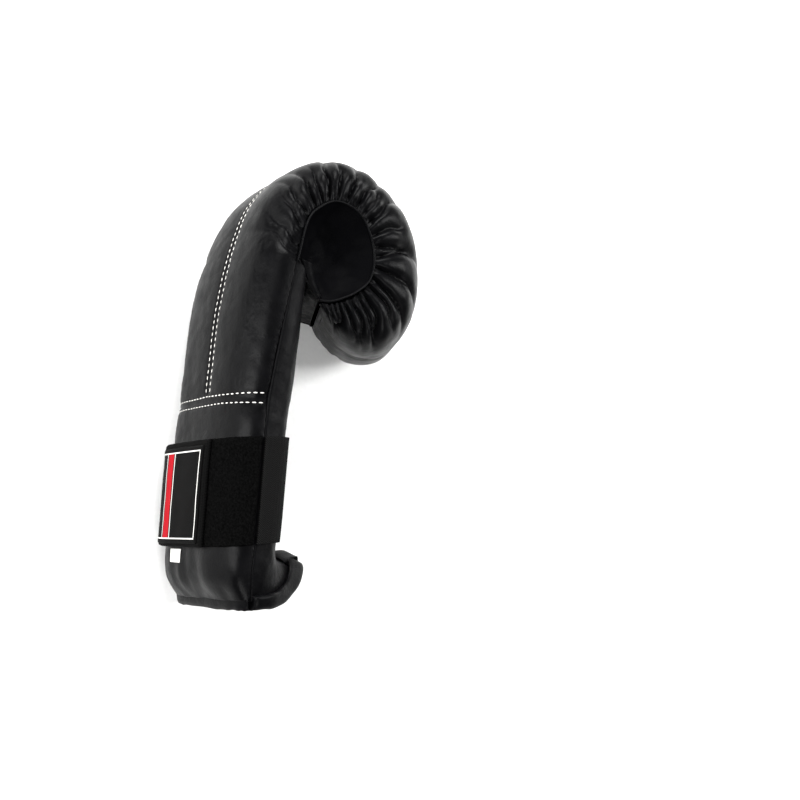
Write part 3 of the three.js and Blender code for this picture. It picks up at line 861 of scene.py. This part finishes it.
def swell(piece):
    """Lets the cushion's foam press on its leather: a coarse copy is simulated as cloth under
    pressure, and the way that its points go, up to a limit, is carried over to the piece. The
    strap holds the cushion down, so nothing moves below it."""
    scene = bpy.context.scene
    coarse = linked("swelling", piece.data.copy())
    remesh = coarse.modifiers.new("voxels", "REMESH")
    remesh.mode = "VOXEL"
    remesh.voxel_size = SWELL_VOXEL
    graph = bpy.context.evaluated_depsgraph_get()
    coarse.data = bpy.data.meshes.new_from_object(coarse.evaluated_get(graph))
    coarse.modifiers.remove(remesh)
    rest = positions(coarse.data)
    cloth = coarse.modifiers.new("leather", "CLOTH")
    for setting, value in SWELL_CLOTH.items():
        setattr(cloth.settings, setting, value)
    cloth.settings.effector_weights.gravity = 0
    cloth.point_cache.frame_end = SWELL_FRAMES
    for frame_number in range(1, SWELL_FRAMES + 1):
        scene.frame_set(frame_number)
    graph = bpy.context.evaluated_depsgraph_get()
    moved = positions(coarse.evaluated_get(graph).data) - rest
    scene.frame_set(1)
    bpy.data.objects.remove(coarse, do_unlink=True)
    moved = moved - moved.mean(0)
    size = np.linalg.norm(moved, axis=1, keepdims=True)
    moved = moved / np.maximum(size, 1e-9) * SWELL_LIMIT * np.tanh(size / SWELL_LIMIT)
    tree = kdtree.KDTree(len(rest))
    for i, spot in enumerate(rest):
        tree.insert(Vector(spot), i)
    tree.balance()
    low_y, high_y = to_world(pad_outer(np.array(SWELL_FREE_AT), np.zeros(2)))[:, 1]
    fine = positions(piece.data)
    for i, spot in enumerate(fine):
        near = tree.find_n(Vector(spot), SWELL_SHARES)
        weights = np.array([1 / (distance + MM) for _, _, distance in near])
        steps = moved[[index for _, index, _ in near]]
        free = smooth(low_y, high_y, spot[1])
        fine[i] = spot + free * (steps * weights[:, None]).sum(0) / weights.sum()
    fine[:, 2] = np.maximum(fine[:, 2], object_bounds()[0][2])
    piece.data.vertices.foreach_set("co", fine.ravel())
    piece.data.update()


def positions(data):
    """The places of a mesh's vertices."""
    flat = np.empty(3 * len(data.vertices))
    data.vertices.foreach_get("co", flat)
    return flat.reshape(-1, 3)


def make_back_pad():
    stations = pad_stations()
    outer_u = even_across(stations, PAD_OUTER)
    inner_u = np.repeat(np.linspace(-1, 1, PAD_INNER)[None], len(stations), 0)
    at_outer = np.repeat(stations[:, None], PAD_OUTER, 1)
    at_inner = np.repeat(stations[:, None], PAD_INNER, 1)
    outer = press(pad_surface(at_outer, outer_u))
    inner = press(pad_back(at_inner, inner_u), sizes().pad_side_wall)
    piece = wall_piece("padded_back", outer, inner, material_of("pad_leather"))
    swell(piece)
    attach(piece, "root")
    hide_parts("back_pad")
    return piece


def settle(piece, *nodes, slot, cut, held, rests_on=()):
    """Declares a finished panel as a sheet that rides on the mitt and stands for its nodes."""
    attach(piece, "root")
    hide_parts(*nodes)


def panel_relief(points):
    """Soft creases of an unpadded panel."""
    return folds_at(points, *PANEL_FOLDS) + folds_at(points, *PANEL_GRAIN)


PANEL_ALONG = 190


def leather_panel(name, node_name, point, stations, acrosses):
    """A creased wall of leather: point gives the hand's points at places along and across."""
    wall = sizes().leather_wall
    base = point(*np.meshgrid(stations, acrosses, indexing="ij"))
    outer = lifted(base, panel_relief(base))
    inner = lifted(outer, -wall)
    piece = wall_piece(name, press(outer), press(inner, wall), material_of("panel_leather"))
    settle(piece, node_name, slot="panel_leather", cut=outer, held="stretched")
    return piece


def make_palm():
    tuck = SEAT_GAP / sizes().palm_depth
    point = lambda at, u: palm_point(at, mix(-QUARTER, slit_turn(at) + tuck, u))
    return leather_panel("palm_leather", "palm_panel", point,
                         np.linspace(RIM_AT, PALM_TOP_AT, PANEL_ALONG), np.linspace(0, 1, 90))


def make_thumb():
    return leather_panel("thumb_leather", "thumb_panel", thumb_point,
                         np.linspace(RIM_AT, PALM_TOP_AT, PANEL_ALONG), np.linspace(0, 1, 110))


FINGER_TURN = 88 * DEGREE
FINGER_RISE = -2 * MM
FINGER_END_GAP = 1.2 * MM


def finger_arch(share):
    """How far the finger panel rises between its two ends."""
    return FINGER_RISE * (4 * share * (1 - share)) ** 2


def finger_point(share, turn):
    """A point of the finger panel: share is 0 at the top of the palm and 1 at the finger tips."""
    s = sizes()
    palm = section_at(np.full_like(turn, PALM_TOP_AT))
    tip = section_at(np.full_like(turn, TIP_AT))
    up = np.stack([palm.out[..., 1], 0 * turn, -palm.out[..., 0]], -1)
    start = palm_point(np.full_like(turn, PALM_TOP_AT), turn)
    base = place(palm, start[..., 1], np.zeros_like(turn))
    height = ((start - base) * up).sum(-1, keepdims=True)
    start = start + up * (SEAT_GAP - height)
    y = start[..., 1] * (seam_half(tip) - s.leather_wall) / seam_half(palm)
    end = place(tip, y, np.full_like(turn, -FINGER_END_GAP))
    return mix(start, end, share[..., None]) + up * finger_arch(share)[..., None]


def make_fingers():
    return leather_panel("finger_leather", "finger_panel", finger_point,
                         np.linspace(0, 1, 50), np.linspace(-FINGER_TURN, FINGER_TURN, 90))


GUSSET_AROUND = 220
GUSSET_RINGS = 46
GUSSET_INSET = 0.6 * MM


def gusset_rim(side, inset, count=GUSSET_AROUND):
    """The rim of a side panel: along the pad's seam, and back under the finger tips."""
    fine = np.linspace(GATHER_FROM_AT, TIP_AT, 800)
    section = section_at(fine)
    seam = place(section, side * (seam_half(section) - inset), np.full_like(fine, -SEAT_GAP))
    line = seam[0] - seam[-1]
    inward = unit(np.array([line[2], 0, -line[0]]))
    share = np.linspace(0, 1, 100)[1:-1, None]
    closing = seam[-1] + line * share + inward * (2 * SEAT_GAP + finger_arch(share))
    rim = np.concatenate([seam, closing, seam[:1]])
    run = run_of(rim)
    return points_at(np.linspace(0, run[-1], count + 1), run, rim)


GUSSET_BULGE = {-1: -8 * MM, 1: 3 * MM}


def smooth_sheet(points, rim):
    """How far out a smooth sheet through the rim lies at points: a curve of the second degree."""
    def terms(spots):
        x, z = spots[..., 0] * 10, spots[..., 2] * 10
        return np.stack([np.ones_like(x), x, z, x * x, x * z, z * z], -1)
    factors = np.linalg.lstsq(terms(rim), rim[:, 1], rcond=None)[0]
    return terms(points) @ factors


def gusset_face(side, inset):
    """The side panel of the fist: sunken between the gathers on the little finger's side."""
    rim = gusset_rim(side, inset)
    centre = (rim.min(0) + rim.max(0)) / 2
    share = np.linspace(0, 1, GUSSET_RINGS)[:, None, None]
    face = mix(centre, rim[None], share)
    bulge = GUSSET_BULGE[side] * (1 - share[..., 0] ** 2.4)
    folds = (folds_at(face, *GUSSET_FOLDS) + folds_at(face, *GUSSET_GRAIN)) * (1 - share[..., 0] ** 6)
    sheet = smooth_sheet(face, rim) + (rim[:, 1] - smooth_sheet(rim, rim)) * share[..., 0] ** 4
    face[..., 1] = side * (np.abs(sheet) + bulge + folds)
    return face


def oval_cut(face):
    """A grid over the square that an oval panel is cut from, with the panel's own area."""
    low, high = face.reshape(-1, 3).min(0), face.reshape(-1, 3).max(0)
    steps = np.diff(face, axis=0)[:, :-1]
    turns = np.diff(face, axis=1)[:-1]
    area = np.linalg.norm(np.cross(steps, turns), axis=-1).sum()
    width = high[0] - low[0]
    corners = np.array([[[0, 0, 0], [width, 0, 0]], [[0, area / width, 0], [width, area / width, 0]]])
    return corners


def make_gusset(side, node_name):
    s = sizes()
    outer = gusset_face(side, GUSSET_INSET)
    inner = gusset_face(side, GUSSET_INSET + s.leather_wall)
    points = np.concatenate([press(outer), press(inner, s.leather_wall)[::-1]], axis=0)
    # The sides wear the duller copy of the panel leather: painted shade for their hollow.
    piece = closed_piece(node_name.replace("gusset", "fist_leather"), points, material_of("shaded_side_leather"))
    settle(piece, node_name, slot="panel_leather", cut=oval_cut(outer), held="stretched")
    return piece


BINDING_SECTION = (
    (-0.3, -0.6), (-0.5, -0.55), (-0.52, -0.3), (-0.5, 0.0), (-0.42, 0.4), (-0.26, 0.7), (0.0, 0.8),
    (0.26, 0.7), (0.42, 0.4), (0.5, 0.0), (0.52, -0.3), (0.5, -0.55), (0.3, -0.6),
)
BINDING_HEIGHT = 6 * MM
BINDING_WIDTH = 4.6 * MM
BINDING_GAP = 0.2 * MM


def rim_lines():
    """The outer and inner edges of the whole cuff, round the hand."""
    s = sizes()
    across = np.linspace(-1, 1, 161)[4:-4]
    at = np.full_like(across, RIM_AT)
    outer, inner = [pad_outer(at, across)], [pad_inner(at, across)]
    turn = np.linspace(QUARTER, -QUARTER, 181)
    stations = np.array([RIM_AT, RIM_AT + 0.01])
    grid_at, grid_turn = np.meshgrid(stations, turn, indexing="ij")
    palm = palm_point(grid_at, grid_turn)
    normal = face_normals(palm)[0]
    outer.append(palm[0])
    inner.append(palm[0] - normal * s.leather_wall)
    return np.concatenate(outer), np.concatenate(inner)


def evened(ring, passes):
    """A closed line's points, each pulled towards its neighbours some times over."""
    for _ in range(passes):
        ring = (np.roll(ring, 1, 0) + ring + np.roll(ring, -1, 0)) / 3
    return ring


def tube_piece(name, rows):
    """A tube of binding leather round a closed line, from one row of points for each place on it."""
    ring = press(np.concatenate([rows, rows[:1]], axis=0))
    return closed_piece(name, ring, material_of("binding"), holes=False)


def make_binding():
    outer, inner = rim_lines()
    count = len(outer)
    middle = evened((outer + inner) / 2, 8)
    wide = unit(evened(unit(outer - inner), 14))
    along = unit(np.roll(middle, -1, 0) - np.roll(middle, 1, 0))
    down = unit(np.cross(wide, along))
    down = unit(evened(down * np.sign(-down[:, 2:]), 14))
    rows = []
    for i in range(count):
        wave = 1 + 0.03 * math.sin(i * 0.31) + 0.03 * math.sin(i * 0.13)
        rows.append([middle[i] + wide[i] * w * BINDING_WIDTH * wave
                     + down[i] * (d * BINDING_HEIGHT * wave + BINDING_GAP) for w, d in BINDING_SECTION])
    ring = np.array(rows)
    piece = tube_piece("bound_rim", np.concatenate([ring, ring[:, :1]], axis=1))
    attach(piece, "root")
    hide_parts("cuff_binding")
    return piece


PATCH = (-0.97, 0.5)
ELASTIC_END = 0.53
WEBBING = (-0.2, 0.62)
LABEL = (-0.15, 0.45)
TAG = (0.04, 0.2)
PATCH_THICKNESS = 2 * MM
ELASTIC_THICKNESS = 2 * MM
WEBBING_THICKNESS = 2.2 * MM
WEBBING_LOW = 2 * SEAT_GAP + PATCH_THICKNESS
LABEL_LOW = WEBBING_LOW + WEBBING_THICKNESS + SEAT_GAP


def strap_grid(across, low_at, high_at, rows, cols, lift, ripple=0.0, round_edge=0.0):
    """A face over the back of the wrist, with the pieces' own gentle ripple."""
    stations = np.linspace(low_at, high_at, rows)
    u = even_across([0.5 * (low_at + high_at)], cols, *across)[0]
    at, acr = np.meshgrid(stations, u, indexing="ij")
    base = pad_outer(at, acr)
    wave = folds_at(base, 14 * MM, 1, 6.0, ripple)
    v_edge = np.minimum(np.arange(rows), np.arange(rows)[::-1])[:, None]
    u_edge = np.minimum(np.arange(cols), np.arange(cols)[::-1])[None]
    edge = np.minimum(v_edge * 0.9, u_edge) / 2.0
    drop = round_edge * (1 - np.sqrt(1 - np.clip(1 - edge, 0, 1) ** 2))
    return pad_outer(at, acr, lift + wave - drop)


def strap_piece(name, node_name, slot, across, low_at, high_at, rows, cols, low, high,
                ripple=0.3 * MM, relief=None, rests_on=()):
    outer = strap_grid(across, low_at, high_at, rows, cols, high, ripple, (high - low) * 0.5)
    inner = strap_grid(across, low_at, high_at, rows, cols, low, ripple)
    if relief is not None:
        outer = lifted(outer, -relief(outer))
    piece = wall_piece(name, outer, inner, material_of(slot), flat_places(outer))
    settle(piece, node_name, slot=slot, cut=outer, held="laid", rests_on=rests_on)
    return piece


def pile_relief(points):
    return folds_at(points, *PILE_GRAIN) + folds_at(points, *PILE_FOLDS)


def make_patch():
    return strap_piece("loop_pile_patch", "loop_patch", "loop_pile", PATCH, STRAP_LOW_AT, STRAP_HIGH_AT,
                       120, 170, SEAT_GAP, SEAT_GAP + PATCH_THICKNESS,
                       relief=pile_relief, rests_on=["padded_back"])


def make_webbing():
    return strap_piece("strap_webbing", "wrist_strap", "webbing", WEBBING, STRAP_LOW_AT, STRAP_HIGH_AT,
                       60, 70, WEBBING_LOW, WEBBING_LOW + WEBBING_THICKNESS,
                       rests_on=["loop_pile_patch"])


def make_label():
    return strap_piece("woven_label", "strap_label", "label", LABEL, STRAP_LOW_AT + 0.06,
                       STRAP_HIGH_AT - 0.06, 60, 60, LABEL_LOW - 0.3 * MM, LABEL_LOW + 0.5 * MM,
                       ripple=0.25 * MM, rests_on=["strap_webbing"])


def make_tag():
    return strap_piece("ribbon_tag", "size_tag", "tag", TAG, *TAG_AT, 16, 20, SEAT_GAP,
                       SEAT_GAP + 0.7 * MM, rests_on=["padded_back"])


def band_grid(lift, rows=50, cols=420):
    """A face over the elastic's way round the palm and up to the patch."""
    stations = np.linspace(STRAP_LOW_AT, STRAP_HIGH_AT, rows)
    turns = np.concatenate([np.linspace(-QUARTER, QUARTER, 700),
                            np.linspace(QUARTER, QUARTER * (2 - ELASTIC_END), 250)[1:]])
    at, turn = np.meshgrid(stations, turns, indexing="ij")
    palm = lifted(palm_point(at, np.minimum(turn, QUARTER)), lift)
    pad = pad_outer(at, np.clip(1 - (turn - QUARTER) / QUARTER, -1, 1), lift)
    points = np.where((turn <= QUARTER)[..., None], palm, pad)
    points[:, :, 1] = np.minimum(points[:, :, 1], floor_y())
    run = run_of(np.swapaxes(points, 0, 1)[:, rows // 2])
    spots = np.linspace(0, run[-1], cols)
    pick = np.interp(spots, run, np.arange(len(turns)))
    low = np.floor(pick).astype(int).clip(0, len(turns) - 2)
    part = (pick - low)[None, :, None]
    return points[:, low] * (1 - part) + points[:, low + 1] * part, spots


def make_elastic():
    outer, spots = band_grid(SEAT_GAP + ELASTIC_THICKNESS)
    inner, _ = band_grid(SEAT_GAP)
    middle = (outer + inner) / 2
    ribs = (0.85 + 0.15 * np.abs(np.sin(spots / RIB * math.pi)))[None, :, None]
    outer = middle + (outer - middle) * ribs
    surface = np.stack([np.repeat(spots[None], len(outer), 0), run_of(outer)], -1)
    piece = wall_piece("elastic_strap", press(outer), press(inner, ELASTIC_THICKNESS),
                       material_of("elastic"), surface)
    settle(piece, "elastic_band", slot="elastic", cut=outer, held="stretched",
           rests_on=["palm_leather", "thumb_leather"])
    return piece


def surface_line(at, across):
    """A line on the finished pad: its world points and normals."""
    step = 0.01
    points = pad_surface(at, across)
    ahead = pad_surface(at + step, across) - pad_surface(at - step, across)
    side = pad_surface(at, across + step) - pad_surface(at, across - step)
    normal = unit(np.cross(side, ahead))
    outward = pad_outer(at, across, 1 * MM) - pad_outer(at, across)
    normal = normal * np.sign((normal * outward).sum(-1, keepdims=True))
    here = to_world(points)
    normals = to_world(points + normal) - here
    pad = bpy.data.objects["padded_back"]
    touched = [pad.closest_point_on_mesh(Vector(spot + up * MM))[1] for spot, up in zip(here, normals)]
    return np.array(touched), normals


def across_of_y(at, y):
    """The place across whose outline lies y from the middle."""
    section = section_at(at)
    turn = np.arcsin(np.clip(np.abs(y) / section.half, 0, 1) ** (1 / SIDE_ROUND))
    return np.sign(y) * turn / section.wrap


CROSS_ROWS_REACH = 0.965
WHITE_STITCH = (2.6 * MM, 0.8 * MM, 0.7 * MM)
BLACK_STITCH = (2.3 * MM, 0.6 * MM, 0.4 * MM)


def make_white_stitches():
    s = sizes()
    shape = bmesh.new()
    for sign in (-1, 1):
        fine = np.linspace(CROSS_ROWS_AT[1] + 0.06, WHITE_ROWS_END_AT, 700)
        across = across_of_y(fine, np.full_like(fine, CENTRE_Y + sign * s.stitch_rows / 2))
        points, normals = surface_line(fine, across)
        stitch_row(shape, points, normals, WHITE_STITCH, s.stitch_pitch, 0.15 * MM)
    for row in CROSS_ROWS_AT:
        across = even_across([row], 300, -CROSS_ROWS_REACH, CROSS_ROWS_REACH)[0]
        points, normals = surface_line(np.full_like(across, row), across)
        stitch_row(shape, points, normals, WHITE_STITCH, s.stitch_pitch, 0.15 * MM)
    piece = finish_mesh("white_stitches", shape, material_of("thread_white"))
    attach(piece, "root")
    return piece


def make_black_stitches():
    s = sizes()
    shape = bmesh.new()
    fine = np.linspace(0.15, GATHER_FROM_AT + 0.4, 500)
    points, normals = surface_line(fine, np.full_like(fine, -0.975))
    stitch_row(shape, points, normals, BLACK_STITCH, s.stitch_pitch, 0.1 * MM)
    piece = finish_mesh("black_stitches", shape, material_of("thread_black"))
    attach(piece, "root")
    return piece


def make_welt(side, name):
    """The piped seam between a side panel of the fist and the gathers."""
    rim = gusset_rim(side, 0.2 * MM, 260)[:-1]
    centre = (rim.min(0) + rim.max(0)) / 2
    rim[:, 1] += side * 0.6 * MM
    radius = 0.7 * MM
    inward = unit(centre - rim)
    side_way = np.array([0.0, side, 0.0])
    rows = []
    for point, to_centre in zip(rim, inward):
        turns = np.linspace(0, 2 * math.pi, 9)
        rows.append([point + radius * (math.cos(t) * to_centre + math.sin(t) * side_way) for t in turns])
    piece = tube_piece(name, np.array(rows))
    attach(piece, "root")
    return piece


# Stage

CAMERA_TURN = -36.26 * DEGREE
CAMERA_RISE = 5.24 * DEGREE
CAMERA_ROLL = -1.53 * DEGREE
CAMERA_Z = 0.05936
CAMERA_SIDE = 0.09578
CAMERA_DISTANCE = 0.6684
CAMERA_LENS = 36 * 1137.4 / 800


def camera_frame():
    """The camera's place, right, up and forward directions in the hand's frame."""
    a, e, r = CAMERA_TURN, CAMERA_RISE, CAMERA_ROLL
    forward = np.array([-math.sin(a) * math.cos(e), math.cos(a) * math.cos(e), math.sin(e)])
    right = np.array([math.cos(a), math.sin(a), 0.0])
    up = np.cross(right, forward)
    right, up = (math.cos(r) * right + math.sin(r) * up, -math.sin(r) * right + math.cos(r) * up)
    level = np.array([-math.sin(a), math.cos(a), 0.0])
    eye = right * CAMERA_SIDE - level * CAMERA_DISTANCE + np.array([0, 0, CAMERA_Z])
    return eye, right, up, forward


def world_direction(vector):
    return Vector((vector[0], vector[2], -vector[1]))


def make_camera():
    eye, right, up, forward = camera_frame()
    data = bpy.data.cameras.new("camera")
    data.lens = CAMERA_LENS
    data.sensor_width = 36
    camera = linked("camera", data)
    turn = Matrix([world_direction(v) for v in (right, up, -forward)]).transposed()
    camera.matrix_world = Matrix.Translation(Vector(to_world(eye))) @ turn.to_4x4()
    bpy.context.scene.camera = camera


def area_light(name, at, towards, size, power):
    data = bpy.data.lights.new(name, "AREA")
    data.shape = "RECTANGLE"
    data.size, data.size_y = size
    data.energy = power
    light = linked(name, data)
    light.location = at
    light.rotation_euler = (Vector(towards) - Vector(at)).to_track_quat("-Z", "Y").to_euler()


FLOOR_HALF = 6.0


def make_floor():
    shape = bmesh.new()
    bmesh.ops.create_grid(shape, x_segments=2, y_segments=2, size=FLOOR_HALF)
    floor = finish_mesh("floor", shape, material_of("floor"))
    floor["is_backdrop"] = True


def make_lights():
    world = bpy.data.worlds.new("studio")
    world.use_nodes = True
    background = world.node_tree.nodes["Background"]
    background.inputs["Color"].default_value = (1, 1, 1, 1)
    background.inputs["Strength"].default_value = 0.2
    bpy.context.scene.world = world
    middle = (0.0, 0.02, 0.05)
    area_light("above", (-0.15, 1.0, 0.7), middle, (0.9, 0.4), 22)
    area_light("left", (-1.0, 0.1, 0.45), middle, (0.35, 0.9), 17)
    area_light("right", (0.8, 0.15, 0.8), middle, (0.4, 0.8), 13)
    area_light("below", (-0.2, -1.0, 0.9), middle, (0.7, 0.4), 9)
    bpy.context.scene.view_settings.view_transform = "Standard"


# Operators

class PieceOperator(bpy.types.Operator):
    """Shared by the operators that build pieces."""
    bl_options = {"REGISTER", "UNDO"}
    build = ()

    def execute(self, context):
        for step in self.build:
            step()
        return {"FINISHED"}


def piece_operator(idname, label, text, steps):
    return type("MITT_OT_" + idname, (PieceOperator,), {
        "bl_idname": "mitt." + idname, "bl_label": label, "__doc__": text, "build": steps})


OPERATORS = (
    piece_operator("back_pad", "Back pad", "Builds the padded back with its gathers", (make_back_pad,)),
    piece_operator("panels", "Leather panels", "Builds the palm, the thumb and the finger panels",
                   (make_palm, make_thumb, make_fingers)),
    piece_operator("gussets", "Fist sides", "Builds the side panels of the fist and their piping", (
        lambda: make_gusset(-1, "gusset_little_side"), lambda: make_gusset(1, "gusset_thumb_side"),
        lambda: make_welt(-1, "little_side_welt"), lambda: make_welt(1, "thumb_side_welt"))),
    piece_operator("rim", "Bound rim", "Builds the binding of the cuff", (make_binding,)),
    piece_operator("strap", "Wrist strap", "Builds the elastic, the patch, the strap and its labels",
                   (make_elastic, make_patch, make_webbing, make_label, make_tag)),
    piece_operator("stitches", "Stitches", "Sews the white and the black rows",
                   (make_white_stitches, make_black_stitches)),
    piece_operator("stage", "Stage", "Sets the floor, the lights and the camera",
                   (make_camera, make_floor, make_lights)),
)


class MITT_PT_panel(bpy.types.Panel):
    """Lists the steps that build the mitt."""
    bl_label = "Bag mitt"
    bl_idname = "MITT_PT_panel"
    bl_space_type = "VIEW_3D"
    bl_region_type = "UI"
    bl_category = "Bag mitt"

    def draw(self, context):
        for group in (context.scene.mitt_sizes, context.scene.mitt_colours):
            for name in group.__annotations__:
                self.layout.prop(group, name)
        for operator in OPERATORS:
            self.layout.operator(operator.bl_idname)


CLASSES = (MittSizes, MittColours, *OPERATORS, MITT_PT_panel)


def register():
    for cls in CLASSES:
        bpy.utils.register_class(cls)
    bpy.types.Scene.mitt_sizes = PointerProperty(type=MittSizes)
    bpy.types.Scene.mitt_colours = PointerProperty(type=MittColours)


def unregister():
    del bpy.types.Scene.mitt_colours
    del bpy.types.Scene.mitt_sizes
    for cls in reversed(CLASSES):
        bpy.utils.unregister_class(cls)


def main():
    register()
    for operator in OPERATORS:
        group, name = operator.bl_idname.split(".")
        getattr(getattr(bpy.ops, group), name)()


if __name__ == "__main__":
    main()
